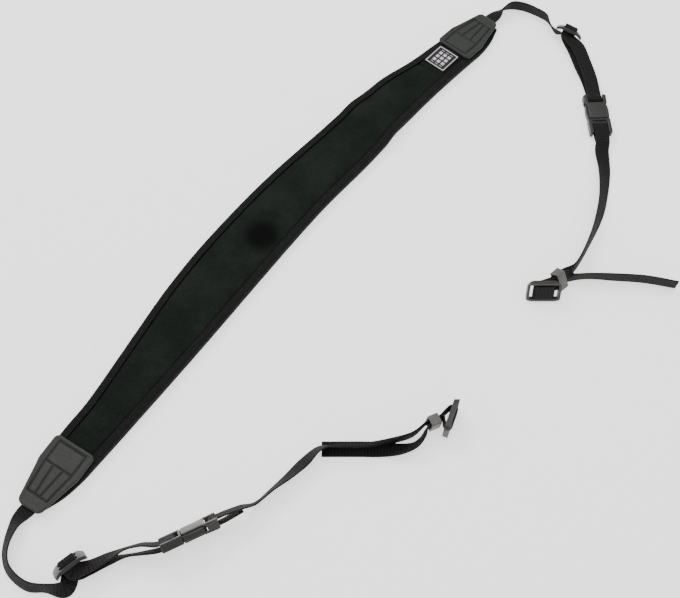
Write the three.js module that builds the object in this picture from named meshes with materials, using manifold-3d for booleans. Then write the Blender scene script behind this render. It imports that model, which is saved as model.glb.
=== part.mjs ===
// A camera neck strap laid out on a table: a padded neck band with an end tab at each end,
// and from each tab a narrow webbing with a three-bar glide, a side-release buckle,
// a keeper loop and the slider that the camera hangs on. Millimetres, +Z up.
import * as THREE from 'three';
import { mergeVertices } from 'three/addons/utils/BufferGeometryUtils.js';
import Module from 'manifold-3d';

const wasm = await Module();
wasm.setup();

// ---------------------------------------------------------------- driving sizes

const GAP = 0.3; // clearance kept between touching pieces
const WEB = { wide: 12, thick: 1.3 };
const PAD = { x: -61, y: 18, heading: 52.5, steps: 40 };
const BINDING = { wide: 6.5, thick: 0.8 };
const TAB = { long: 54, shoulder: 20, wide: 35, narrow: 19.6, thick: 2.2, corner: 4, slope: 1.9 };
const LABEL = { long: 24, wide: 22, thick: 0.6, along: 224.6, across: 1.4, heading: -4 };
const GLIDE = { long: 15.4, wide: 24.5, thick: 2.2, bar: 2.6, slot: 4.3, slotWide: 14, curl: 2.4 };
const BUCKLE = {
  half: 21, wide: 20.5, thick: 7.4, wall: 1.3, mouth: -5, bar: 2.6, slotWide: 13.2, socketBar: 17.3, plugBar: 12.2,
};
const SLIDER = { long: 26.5, wide: 17.5, thick: 2.4, slot: 4.7, slotWide: 13.4, reach: 8.8 };
const KEEPER = { long: 7.6, wall: 1.2, inside: 6.2 };

// The neck band, measured from the middle of the straight line between its tabs:
// how far each edge lies from that line, how thick the band is and how far it lifts off the table.
const BAND = [
  { along: -289, left: 3, right: 13, thick: 3.2, lift: 0 },
  { along: -272, left: 9, right: 18.6, thick: 3.4, lift: 0 },
  { along: -256, left: 13.2, right: 20.8, thick: 4.8, lift: 0 },
  { along: -240, left: 16.2, right: 21, thick: 6.6, lift: 0 },
  { along: -207, left: 18.8, right: 20.4, thick: 7, lift: 0 },
  { along: -152, left: 28.5, right: 19, thick: 7, lift: 0 },
  { along: -103, left: 37, right: 17.3, thick: 7, lift: 0 },
  { along: -57, left: 41.7, right: 15.3, thick: 7, lift: 0 },
  { along: 0, left: 43.3, right: 13.2, thick: 7, lift: 0 },
  { along: 40, left: 42.3, right: 12.8, thick: 7, lift: 0 },
  { along: 87, left: 38.8, right: 14.8, thick: 7, lift: 0 },
  { along: 117, left: 36.2, right: 15.6, thick: 7, lift: 1.4 },
  { along: 133, left: 35.2, right: 15, thick: 7, lift: 3.2 },
  { along: 150, left: 33.6, right: 14.8, thick: 7, lift: 1 },
  { along: 175, left: 30.8, right: 15.2, thick: 7, lift: 0 },
  { along: 207, left: 22.4, right: 17.2, thick: 7, lift: 0 },
  { along: 240, left: 16.6, right: 20.2, thick: 6.6, lift: 0 },
  { along: 256, left: 13.6, right: 21.6, thick: 4.8, lift: 0 },
  { along: 272, left: 9, right: 20.6, thick: 3.4, lift: 0 },
  { along: 289, left: 3.4, right: 16.6, thick: 3.2, lift: 0 },
];

// Where each hard piece lies: its middle, its heading, its nose-up pitch and its roll, in degrees.
// A piece's own X runs along the webbing away from the neck band, Y to the left, Z out of its face.
const PLACE = {
  tab: {
    near: { x: -238, y: -0.6, z: 7.2, heading: 185.6 },
    far: { x: 238.6, y: -0.6, z: 7.2, heading: -4.8 },
  },
  glide: {
    near: { x: -199.7, y: -256.1, z: 9.9, heading: -50.1, pitch: 49.9, roll: 0 },
    far: { x: 193, y: 229, z: 9.7, heading: -106.7, pitch: 37.9, roll: -13.2 },
  },
  buckle: {
    near: { x: -119.6, y: -236, z: 11.6, heading: 26, pitch: 0, roll: -57 },
    far: { x: 207, y: 134, z: 4.6, heading: -88, pitch: 0, roll: 0 },
  },
  slider: {
    near: { x: 64, y: -150.4, z: 9.3, heading: -111, pitch: 0, roll: -90 },
    far: { x: 141.8, y: -44.2, z: 8.8, heading: 180, pitch: 0, roll: -68 },
  },
  keeper: {
    near: { x: 51, y: -153.6, z: 8.42, heading: 24, pitch: 0, roll: -82 },
    far: { x: 155, y: -34, z: 8.82, heading: -140, pitch: 0, roll: -59 },
  },
};

// The webbing between its hard pieces: where its middle is, which way its left edge points,
// how far that edge is tipped up, and how far the lower edge is off the table.
const UPPER = {
  near: [
    { x: -238, y: -220.5, left: -36, lean: 9, lift: 1.6 },
    { x: -242, y: -228.5, left: -25, lean: 36, lift: 0.6 },
    { x: -244.6, y: -238, left: -12, lean: 50, lift: 0 },
    { x: -245, y: -248, left: 8, lean: 58, lift: 0 },
    { x: -242, y: -257.5, left: 38, lean: 64, lift: 0 },
    { x: -235.3, y: -265, left: 62, lean: 66, lift: 0 },
    { x: -226, y: -270.6, left: 80, lean: 68, lift: 0 },
    { x: -215, y: -271.8, left: 99.3, lean: 74.9, lift: 0 },
    { x: -200.5, y: -271.6, left: 134.8, lean: 33.8, lift: 0.1 },
  ],
  far: [
    { x: 126.6, y: 252.6, left: 140, lean: -8, lift: 2.2 },
    { x: 134.6, y: 260, left: 132, lean: -60, lift: 0.4 },
    { x: 143.5, y: 264.2, left: 112, lean: -80, lift: 0 },
    { x: 154, y: 262.5, left: 82, lean: -82, lift: 0 },
    { x: 165, y: 256.5, left: 60, lean: -80, lift: 0 },
    { x: 174.4, y: 248.6, left: 48, lean: -75.8, lift: 0 },
    { x: 178, y: 238.8, left: 39.8, lean: -53.1, lift: 0.1 },
    { x: 185, y: 231.5, left: 20, lean: -27.4, lift: 0 },
  ],
};
// The run that goes to the buckle and back: apart is the space between its two layers,
// and slip is how far the lower layer lies to the right of the upper one.
const DOUBLED = {
  near: [
    { x: -186.4, y: -259, left: 72.2, lean: -26.3, lift: 5.5, apart: 2.7, slip: 0 },
    { x: -174, y: -252.5, left: 100, lean: -44, lift: 2, apart: 3.2, slip: 0 },
    { x: -162, y: -247.8, left: 112, lean: -66, lift: 1, apart: 5, slip: 0 },
    { x: -151, y: -246, left: 114, lean: -63, lift: 3, apart: 6, slip: 0 },
  ],
  far: [
    { x: 197.9, y: 209.2, left: -9.4, lean: 2.1, lift: 6.8, apart: 3.1, slip: 3.2 },
    { x: 202.6, y: 192, left: 7, lean: 0, lift: 5, apart: 3, slip: 3.4 },
    { x: 205.4, y: 174, left: 6, lean: 0, lift: 4.6, apart: 3.6, slip: 1.6 },
  ],
};
const LOWER = {
  near: [
    { x: -75, y: -213, left: 122, lean: -66, lift: 1 },
    { x: -64.5, y: -203.5, left: 132, lean: -64, lift: 0.4 },
    { x: -53, y: -193.4, left: 134, lean: -50, lift: 0.4 },
    { x: -42, y: -182.6, left: 130, lean: -40, lift: 0.6 },
    { x: -31, y: -173, left: 108, lean: -56, lift: 1.5 },
    { x: -17, y: -171.4, left: 94, lean: -82, lift: 1.5 },
    { x: 2, y: -171, left: 92, lean: -87, lift: 1.5 },
    { x: 20, y: -167.4, left: 102, lean: -88, lift: 0.8 },
    { x: 36, y: -162, left: 112, lean: -87, lift: 0.2 },
  ],
  far: [
    { x: 206.6, y: 98, left: 0, lean: 0, lift: 2.6 },
    { x: 205.4, y: 74, left: -4, lean: -26, lift: 1 },
    { x: 201.4, y: 50, left: -10, lean: -46, lift: 0 },
    { x: 196, y: 31, left: -16, lean: -56, lift: 0 },
    { x: 184, y: 4, left: -28, lean: -78, lift: 0 },
    { x: 169, y: -21, left: -36, lean: -84, lift: 0 },
  ],
};
const TAIL = {
  near: [
    { x: 43.6, y: -163.6, left: 122, lean: -68, lift: 0 },
    { x: 37.4, y: -169.8, left: 112, lean: -52, lift: 0 },
    { x: 27, y: -172.4, left: 98, lean: -30, lift: 0 },
    { x: 8, y: -171.6, left: 91, lean: 0, lift: 0 },
    { x: -30, y: -171.4, left: 92, lean: 0, lift: 0 },
  ],
  far: [
    { x: 165, y: -30.5, left: 10, lean: -70, lift: 0 },
    { x: 179, y: -29, left: 60, lean: -80, lift: 0 },
    { x: 200, y: -30, left: 80, lean: -87, lift: 0 },
    { x: 224, y: -32, left: 80, lean: -88, lift: 0 },
    { x: 247.5, y: -37, left: 76, lean: -86, lift: 0 },
  ],
};

// Routes through the hard pieces, in each piece's own X (along) and Z (up).
const OVER_THE_BAR = [
  { along: -4.8, up: -3.6 },
  { along: -4.2, up: -1 },
  { along: -4.1, up: 1.4 },
  { along: 0, up: 4 },
  { along: 4.1, up: 1.4 },
  { along: 4.2, up: -1 },
  { along: 5.2, up: -3.9 },
];
const SEWN_ROUND_THE_BAR = [
  { along: 4.3, up: -5.7 },
  { along: -0.3, up: -3.6 },
  { along: -2.4, up: -1.4 },
  { along: -2, up: 1.5 },
  { along: 0, up: 2.5 },
  { along: 2, up: 1.5 },
  { along: 2.6, up: -1 },
];
const ROUND_A_BUCKLE_BAR = [
  { along: 9.5, up: -2.2 },
  { along: 3.6, up: -2.4 },
  { along: 0.6, up: -2.9 },
  { along: -2.3, up: -1.6 },
  { along: -2.8, up: 0 },
  { along: -2.3, up: 1.6 },
  { along: 0.6, up: 2.9 },
  { along: 3.6, up: 2.4 },
  { along: 9.5, up: 2.2 },
];
const SEWN_LENGTH = { near: 22, far: 16 };
const ROUND_THE_CENTRE = [
  { along: -3, up: -5 },
  { along: -6.4, up: -3.2 },
  { along: -7.9, up: 0 },
  { along: -6.4, up: 2.1 },
  { along: 0, up: 2.4 },
  { along: 6.4, up: 2.1 },
  { along: 7.9, up: 0 },
  { along: 6.4, up: -3.2 },
  { along: 3, up: -5 },
];

// ---------------------------------------------------------------- shared tools

const rad = THREE.MathUtils.degToRad;
const UP = new THREE.Vector3(0, 0, 1);

/** Reads a table at any value of its first column, on smooth curves. */
function smooth(rows) {
  const [first, ...rest] = Object.keys(rows[0]);
  const values = rows.flatMap((row) => rest.map((name) => row[name]));
  const curve = new THREE.CubicInterpolant(rows.map((row) => row[first]), values, rest.length);
  return (at) => {
    const found = curve.evaluate(at);
    return Object.fromEntries(rest.map((name, i) => [name, found[i]]));
  };
}

/** A turned and placed group: heading about +Z, then nose up, then roll about its own length. */
function placed({ x, y, z, heading, pitch = 0, roll = 0 }) {
  const group = new THREE.Group();
  group.position.set(x, y, z);
  group.rotation.set(rad(roll), rad(-pitch), rad(heading), 'ZYX');
  group.updateMatrixWorld(true);
  return group;
}

function outline(points) {
  return new THREE.Shape(points.map(([x, y]) => new THREE.Vector2(x, y)));
}

/** A rectangle with round corners, centred on x and y. */
function roundedBox(long, wide, radius, x = 0, y = 0) {
  const [a, b] = [long / 2 - radius, wide / 2 - radius];
  const shape = new THREE.Shape();
  shape.absarc(x + a, y + b, radius, 0, Math.PI / 2);
  shape.absarc(x - a, y + b, radius, Math.PI / 2, Math.PI);
  shape.absarc(x - a, y - b, radius, Math.PI, 1.5 * Math.PI);
  shape.absarc(x + a, y - b, radius, 1.5 * Math.PI, 2 * Math.PI);
  return shape;
}

/** A plate of a plan shape, with its middle plane at z = 0 and its edges eased. */
function plate(shape, thick, ease = 0, curveSegments = 4) {
  const geometry = new THREE.ExtrudeGeometry(shape, {
    depth: thick - 2 * ease,
    bevelEnabled: ease > 0,
    bevelThickness: ease,
    bevelSize: ease,
    bevelOffset: -ease,
    bevelSegments: 1,
    curveSegments,
  });
  return geometry.translate(0, 0, ease - thick / 2);
}

/** Carries an outline along a path: the path turns (x, y, share of the way) into a place. */
function carried(section, steps, path) {
  const geometry = new THREE.ExtrudeGeometry(section, { depth: 1, steps, bevelEnabled: false, curveSegments: 3 });
  const position = geometry.getAttribute('position');
  const point = new THREE.Vector3();
  for (let i = 0; i < position.count; i += 1) {
    point.fromBufferAttribute(position, i);
    path(point.x, point.y, point.z, point);
    position.setXYZ(i, point.x, point.y, point.z);
  }
  return geometry;
}

/** Turns a closed geometry into a solid that can be joined and cut. */
function solid(geometry) {
  const bare = geometry.clone();
  bare.deleteAttribute('normal');
  bare.deleteAttribute('uv');
  const merged = mergeVertices(bare, 1e-4);
  return new wasm.Manifold(new wasm.Mesh({
    numProp: 3,
    vertProperties: new Float32Array(merged.getAttribute('position').array),
    triVerts: new Uint32Array(merged.getIndex().array),
  }));
}

function surface(body) {
  const mesh = body.getMesh();
  const geometry = new THREE.BufferGeometry();
  geometry.setAttribute('position', new THREE.BufferAttribute(mesh.vertProperties, 3));
  geometry.setIndex(new THREE.BufferAttribute(mesh.triVerts, 1));
  return geometry;
}

function box(long, wide, high, x = 0, y = 0, z = 0) {
  return solid(new THREE.BoxGeometry(long, wide, high).translate(x, y, z));
}

function piece(name, geometry, material) {
  const mesh = new THREE.Mesh(geometry, material);
  mesh.name = name;
  return mesh;
}

const FINISH = {
  foam: new THREE.MeshStandardMaterial({ color: '#1a1e1b', roughness: 0.95, metalness: 0 }),
  tape: new THREE.MeshStandardMaterial({ color: '#262626', roughness: 0.85, metalness: 0 }),
  hide: new THREE.MeshStandardMaterial({ color: '#464744', roughness: 0.6, metalness: 0 }),
  webbing: new THREE.MeshStandardMaterial({ color: '#262627', roughness: 0.8, metalness: 0 }),
  moulding: new THREE.MeshStandardMaterial({ color: '#3c3d3b', roughness: 0.45, metalness: 0 }),
  label: new THREE.MeshStandardMaterial({ color: '#191619', roughness: 0.5, metalness: 0 }),
};

// ---------------------------------------------------------------- neck band

const band = smooth(BAND);
const bandGroup = placed({ x: PAD.x, y: PAD.y, z: 0, heading: PAD.heading });
const bandEnd = BAND[BAND.length - 1].along;

/** The foam panel: crowned on top, with thin margins that the binding folds over. */
function neckPanel() {
  const wall = BINDING.thick + GAP;
  const margin = 1 + BINDING.wide + GAP - wall;
  const section = outline([
    [-margin, 0.2], [-1.1, 0.18], [-1, 0], [1, 0], [1.1, 0.18], [margin, 0.2],
    [margin, 0.8], [1.1, 0.82], [1, 0.84], [0.6, 0.94], [0, 1], [-0.6, 0.94], [-1, 0.84], [-1.1, 0.82], [-margin, 0.8],
  ]);
  return carried(section, PAD.steps, (x, y, share, point) => {
    const along = THREE.MathUtils.lerp(1 - bandEnd, bandEnd - 1, share);
    const at = band(along);
    const middle = (at.left - at.right) / 2;
    const half = (at.left + at.right) / 2 - BINDING.wide - GAP;
    const inside = THREE.MathUtils.clamp(x, -1, 1);
    point.set(along, middle + inside * half + (x - inside), Math.max(at.lift, 0) + y * at.thick);
  });
}

/** The tape folded over one long edge; side is +1 on the left and -1 on the right. */
function edgeBinding(side) {
  const [w, t] = [BINDING.wide, BINDING.thick / BAND[8].thick];
  const channel = [
    [w, 0], [0.8, 0], [0, 0.12], [0, 0.88], [0.8, 1], [w, 1],
    [w, 1 - t], [BINDING.thick, 1 - t], [BINDING.thick, t], [w, t],
  ];
  return carried(outline(channel), PAD.steps, (x, y, share, point) => {
    const along = -side * THREE.MathUtils.lerp(-bandEnd, bandEnd, share);
    const at = band(along);
    const edge = side > 0 ? at.left : -at.right;
    point.set(along, edge - side * x, Math.max(at.lift, 0) + y * at.thick);
  });
}

/** The keystone tab over one end of the band, its wide edge at x = 0. */
function endTab() {
  const { long, shoulder, wide, narrow, corner } = TAB;
  const [w, n] = [wide / 2, narrow / 2];
  const shape = new THREE.Shape();
  shape.moveTo(corner, -w);
  shape.lineTo(shoulder, -w);
  shape.quadraticCurveTo(shoulder + 5, -w, shoulder + 9, -w + 3);
  shape.lineTo(long - corner, -n - 1);
  shape.quadraticCurveTo(long, -n, long, -n + corner);
  shape.lineTo(long, n - corner);
  shape.quadraticCurveTo(long, n, long - corner, n + 1);
  shape.lineTo(shoulder + 9, w - 3);
  shape.quadraticCurveTo(shoulder + 5, w, shoulder, w);
  shape.lineTo(corner, w);
  shape.quadraticCurveTo(0, w, 0, w - corner);
  shape.lineTo(0, -w + corner);
  shape.quadraticCurveTo(0, -w, corner, -w);
  return plate(shape, TAB.thick, 0.5).translate(0, 0, TAB.thick / 2);
}

// ---------------------------------------------------------------- hard pieces

/** A three-bar glide: two slots and a centre bar, with its two ends curled under. */
function threeBarGlide() {
  const { long, wide, thick, bar, slot, slotWide, curl } = GLIDE;
  const middle = bar / 2 + slot / 2;
  const shape = roundedBox(long, wide, 3.5);
  for (const side of [-1, 1]) shape.holes.push(roundedBox(slot, slotWide, 0.8, side * middle, 0));
  const glide = plate(shape, thick, 0, 3);
  const position = glide.getAttribute('position');
  for (let i = 0; i < position.count; i += 1) {
    const past = Math.max(Math.abs(position.getY(i)) - slotWide / 2, 0) / (wide / 2 - slotWide / 2);
    position.setZ(i, position.getZ(i) - curl * past ** 1.5);
  }
  return glide;
}

/** The slider at the camera end: two slots either side of a broad centre. */
function cameraSlider() {
  const { long, wide, thick, slot, slotWide, reach } = SLIDER;
  const shape = roundedBox(long, wide, 6.5);
  for (const side of [-1, 1]) shape.holes.push(roundedBox(slot, slotWide, 1, side * reach, 0));
  return plate(shape, thick, 0, 3);
}

/** The small loop that holds the tail against the webbing. */
function keeperLoop() {
  const { long, wall, inside } = KEEPER;
  const high = inside + 2 * wall;
  const wide = WEB.wide + 1.8 + 2 * wall;
  const shape = roundedBox(wide, high, 1.6);
  shape.holes.push(roundedBox(wide - 2 * wall, inside, 0.6));
  const loop = plate(shape, long, 0, 2);
  return loop.applyMatrix4(new THREE.Matrix4().makeBasis(
    new THREE.Vector3(0, 1, 0), new THREE.Vector3(0, 0, 1), new THREE.Vector3(1, 0, 0)));
}

/** What is cut away above and below a strap bar between two places along the buckle. */
function barRelief(from, to) {
  const { thick, bar, slotWide } = BUCKLE;
  const above = box(to - from, slotWide, thick, (from + to) / 2, 0, (thick + bar) / 2);
  return above.add(above.translate([0, 0, -thick - bar]));
}

/** The socket: a flat sleeve with a thumb window in each side and a strap bar at its far end. */
function buckleSocket() {
  const { half, wide, thick, wall, mouth, bar, slotWide } = BUCKLE;
  const w = wide / 2;
  const shape = outline([
    [mouth, -w], [11, -w + 0.4], [14, -w], [half - 1.6, -w + 0.4], [half, -w + 1.8], [half, -7], [18.6, -6.6],
    [18.6, 6.6], [half, 7], [half, w - 1.8], [half - 1.6, w - 0.4], [14, w], [11, w - 0.4], [mouth, w],
  ]);
  const body = solid(plate(shape, thick, 0.6));
  const slotEnd = 18.6 - bar;
  const relief = barRelief(slotEnd - 3.8, half + 1);
  const cavity = box(15, wide - 2 * wall - 0.8, thick - 2 * wall, mouth + 7, 0, 0);
  const window = box(9, wide + 2, thick - 2.6 * wall, 8, 0, 0);
  const slot = box(3.8, slotWide, thick + 2, slotEnd - 1.9, 0, 0);
  return surface(body.subtract(cavity).subtract(window).subtract(slot).subtract(relief));
}

/** The plug: two arms with a strap bar between them, a body, and two sprung prongs with thumb pads. */
function bucklePlug() {
  const { half, wide, thick, wall, mouth, bar, slotWide } = BUCKLE;
  const arm = wide / 2 - 0.8;
  const base = solid(plate(outline([
    [mouth - GAP, -arm], [mouth - GAP, arm], [-half + 3, arm], [-half, arm - 1.6], [-half, slotWide / 2],
    [-half, -slotWide / 2], [-half, -arm + 1.6], [-half + 3, -arm],
  ]), thick - 1, 0.6));
  const bodyStart = mouth - 3.6;
  const barStart = bodyStart - 3.8 - bar;
  const slot = box(3.8, slotWide, thick, bodyStart - 1.9, 0, 0);
  const opening = box(barStart + half + 2, slotWide, thick, (barStart - half - 2) / 2, 0, 0);
  const relief = barRelief(-half - 1, bodyStart - 3.8);
  const prongHigh = thick - 2.6 * wall - 2 * GAP;
  const out = wide / 2 - 0.4;
  const inner = wide / 2 - wall - 0.4 - GAP - 0.2;
  const prongs = solid(plate(outline([
    [mouth - 2, -inner], [3, -inner + 1.4], [4.2, -out], [9, -out + 0.4], [10.6, -inner + 2.6], [9, -inner + 3],
    [4, -inner + 4], [1.5, -inner + 4.4], [1.5, -1.6], [9, -1.2], [9, 1.2], [1.5, 1.6], [1.5, inner - 4.4],
    [4, inner - 4], [9, inner - 3], [10.6, inner - 2.6], [9, out - 0.4], [4.2, out], [3, inner - 1.4],
    [mouth - 2, inner],
  ]), prongHigh));
  return surface(base.subtract(slot).subtract(opening).subtract(relief).add(prongs));
}

// ---------------------------------------------------------------- webbing

/** A place on a free run of webbing. */
function lay({ x, y, left, lean, lift }) {
  const tip = new THREE.Vector3(Math.cos(rad(left)) * Math.cos(rad(lean)),
    Math.sin(rad(left)) * Math.cos(rad(lean)), Math.sin(rad(lean)));
  const rest = WEB.wide / 2 * Math.abs(tip.z) + WEB.thick / 2 * Math.abs(Math.cos(rad(lean)));
  return { at: new THREE.Vector3(x, y, rest + lift), left: tip };
}

/** A place on a run that goes through a hard piece; turned swaps the webbing's edges. */
function through(group, { along, up }, turned = 1) {
  const at = group.localToWorld(new THREE.Vector3(along, 0, up));
  const left = new THREE.Vector3(0, turned, 0).transformDirection(group.matrixWorld);
  return { at, left };
}

/** Flat webbing laid along a row of places. */
function ribbon(places, stepsEach = 3) {
  const middle = new THREE.CatmullRomCurve3(places.map((place) => place.at), false, 'centripetal');
  const edge = new THREE.CatmullRomCurve3(places.map((place) => place.left), false, 'catmullrom', 0.5);
  const section = outline([
    [-WEB.wide / 2, -WEB.thick / 2], [WEB.wide / 2, -WEB.thick / 2],
    [WEB.wide / 2, WEB.thick / 2], [-WEB.wide / 2, WEB.thick / 2],
  ]);
  return carried(section, (places.length - 1) * stepsEach, (x, y, share, point) => {
    const along = middle.getTangent(share);
    const left = edge.getPoint(share);
    left.addScaledVector(along, -left.dot(along)).normalize();
    const face = along.cross(left);
    const reach = (Math.abs(left.z) * WEB.wide + Math.abs(face.z) * WEB.thick) / 2;
    point.copy(middle.getPoint(share));
    point.z = Math.max(point.z, reach);
    point.addScaledVector(left, x).addScaledVector(face, y);
  });
}

/** A place on one layer of the doubled run; way is +1 on its upper face and -1 on its lower. */
function layer(row, way, turned) {
  const place = lay(row);
  const heading = rad(row.left - 90);
  const travel = new THREE.Vector3(Math.cos(heading), Math.sin(heading), 0);
  const face = travel.cross(place.left).normalize();
  place.at.addScaledVector(face, way * row.apart / 2);
  if (way < 0) place.at.addScaledVector(place.left, -row.slip);
  place.left.multiplyScalar(turned);
  return place;
}

// ---------------------------------------------------------------- assembly

const strap = new THREE.Group();
strap.add(bandGroup);
bandGroup.add(piece('neck_pad', neckPanel(), FINISH.foam));
bandGroup.add(piece('binding_left', edgeBinding(1), FINISH.tape));
bandGroup.add(piece('binding_right', edgeBinding(-1), FINISH.tape));

const labelPlace = placed({ x: LABEL.along, y: LABEL.across, z: 7 + GAP + LABEL.thick / 2, heading: LABEL.heading });
labelPlace.add(piece('label', plate(roundedBox(LABEL.long, LABEL.wide, 1), LABEL.thick), FINISH.label));
bandGroup.add(labelPlace);

for (const end of ['near', 'far']) {
  const tab = placed(PLACE.tab[end]);
  tab.rotation.y = rad(TAB.slope);
  bandGroup.add(tab);
  tab.updateWorldMatrix(true, true);
  tab.add(piece(`end_tab_${end}`, endTab(), FINISH.hide));

  const glide = placed(PLACE.glide[end]);
  glide.add(piece(`glide_${end}`, threeBarGlide(), FINISH.moulding));

  // The plug is on the band's side at the near end, and on the camera's side at the far end.
  const buckle = placed(PLACE.buckle[end]);
  const halves = new THREE.Group();
  if (end === 'far') halves.rotation.z = Math.PI;
  halves.add(piece(`buckle_socket_${end}`, buckleSocket(), FINISH.moulding));
  halves.add(piece(`buckle_plug_${end}`, bucklePlug(), FINISH.moulding));
  buckle.add(halves);

  const slider = placed(PLACE.slider[end]);
  slider.add(piece(`camera_slider_${end}`, cameraSlider(), FINISH.moulding));
  const keeper = placed(PLACE.keeper[end]);
  keeper.add(piece(`keeper_${end}`, keeperLoop(), FINISH.moulding));
  strap.add(glide, buckle, slider, keeper);

  const turned = end === 'near' ? -1 : 1;
  const [innerBar, outerBar] = end === 'near' ? [-BUCKLE.plugBar, BUCKLE.socketBar] : [-BUCKLE.socketBar, BUCKLE.plugBar];
  const sewnUnderTab = [30, 44, 52].map((along) => through(tab, { along, up: -1.05 }));
  strap.add(piece(`upper_webbing_${end}`, ribbon([
    ...sewnUnderTab,
    ...UPPER[end].map(lay),
    ...OVER_THE_BAR.map((row) => through(glide, row, turned)),
    ...DOUBLED[end].map((row) => layer(row, 1, turned)),
    ...ROUND_A_BUCKLE_BAR.toReversed().map(({ along, up }) => through(buckle, { along: innerBar - along, up }, turned)),
    ...DOUBLED[end].toReversed().map((row) => layer(row, -1, turned)),
    ...SEWN_ROUND_THE_BAR.map((row) => through(glide, row, turned)),
  ]), FINISH.webbing));

  const side = end === 'near' ? 1 : -1;
  const sewnTo = outerBar + SEWN_LENGTH[end];
  strap.add(piece(`lower_webbing_${end}`, ribbon([
    ...[sewnTo].map((along) => through(buckle, { along, up: -1 })),
    ...ROUND_A_BUCKLE_BAR.map(({ along, up }) => through(buckle, { along: outerBar + along, up })),
    ...[sewnTo].map((along) => through(buckle, { along, up: 1 })),
    ...LOWER[end].map(lay),
    ...[-4.5, 4.5].map((along) => through(keeper, { along, up: 1.4 * side })),
    ...ROUND_THE_CENTRE.map(({ along, up }) => through(slider, { along: along * side, up })),
    ...[4.5, -4.5].map((along) => through(keeper, { along, up: -1.4 * side })),
    ...TAIL[end].map(lay),
  ]), FINISH.webbing));
}

// The origin is under the middle of the whole strap, on the table it lies on.
const whole = new THREE.Box3().setFromObject(strap, true);
const middle = whole.getCenter(new THREE.Vector3());
strap.position.set(-middle.x, -middle.y, -whole.min.z);

strap.updateMatrixWorld(true);
export default strap;
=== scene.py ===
"""A camera neck strap laid out on a table: a padded band with an end tab at each end, and from
each tab a narrow webbing with a glide, a side-release buckle, a keeper and a camera slider."""
import math

import bmesh
import bpy
from mathutils import Euler, Matrix, Vector, noise


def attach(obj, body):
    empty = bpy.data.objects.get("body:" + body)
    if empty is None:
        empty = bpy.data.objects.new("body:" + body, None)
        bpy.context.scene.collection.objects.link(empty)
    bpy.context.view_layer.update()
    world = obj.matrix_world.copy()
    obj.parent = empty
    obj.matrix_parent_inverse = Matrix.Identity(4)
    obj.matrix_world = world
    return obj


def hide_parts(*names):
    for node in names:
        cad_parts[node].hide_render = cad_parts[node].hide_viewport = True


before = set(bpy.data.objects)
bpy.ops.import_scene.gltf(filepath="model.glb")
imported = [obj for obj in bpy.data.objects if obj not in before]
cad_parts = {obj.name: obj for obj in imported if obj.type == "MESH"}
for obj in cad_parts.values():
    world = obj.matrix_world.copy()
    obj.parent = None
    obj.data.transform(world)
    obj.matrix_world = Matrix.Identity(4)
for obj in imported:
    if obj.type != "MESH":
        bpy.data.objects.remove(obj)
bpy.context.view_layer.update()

MM = 0.001
SHIFT = Vector((0.7094, 5.7588, 0.0))  # from the laid-out plan to the part's own origin, in mm
WEB_WIDE, WEB_THICK = 12.0, 1.3


# ------------------------------------------------------------------ shader maths

class Wire:
    """One socket of a material's nodes, with arithmetic."""

    def __init__(self, finish, socket):
        self.finish, self.socket = finish, socket

    def _maths(self, operation, *values):
        return self.finish.node("ShaderNodeMath", {"operation": operation}, dict(enumerate(values)))

    def __add__(self, other): return self._maths("ADD", self, other)
    def __radd__(self, other): return self._maths("ADD", other, self)
    def __sub__(self, other): return self._maths("SUBTRACT", self, other)
    def __rsub__(self, other): return self._maths("SUBTRACT", other, self)
    def __mul__(self, other): return self._maths("MULTIPLY", self, other)
    def __rmul__(self, other): return self._maths("MULTIPLY", other, self)
    def __truediv__(self, other): return self._maths("DIVIDE", self, other)
    def __pow__(self, other): return self._maths("POWER", self, other)
    def sine(self): return self._maths("SINE", self)
    def size(self): return self._maths("ABSOLUTE", self)
    def fraction(self): return self._maths("FRACT", self)
    def below(self, limit): return self._maths("LESS_THAN", self, limit)
    def above(self, limit): return self._maths("GREATER_THAN", self, limit)

    def ramp(self, low, high):
        """0 below low, 1 above high, smooth between."""
        return self.finish.node(
            "ShaderNodeMapRange", {"interpolation_type": "SMOOTHSTEP"},
            {"Value": self, "From Min": low, "From Max": high})


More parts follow.
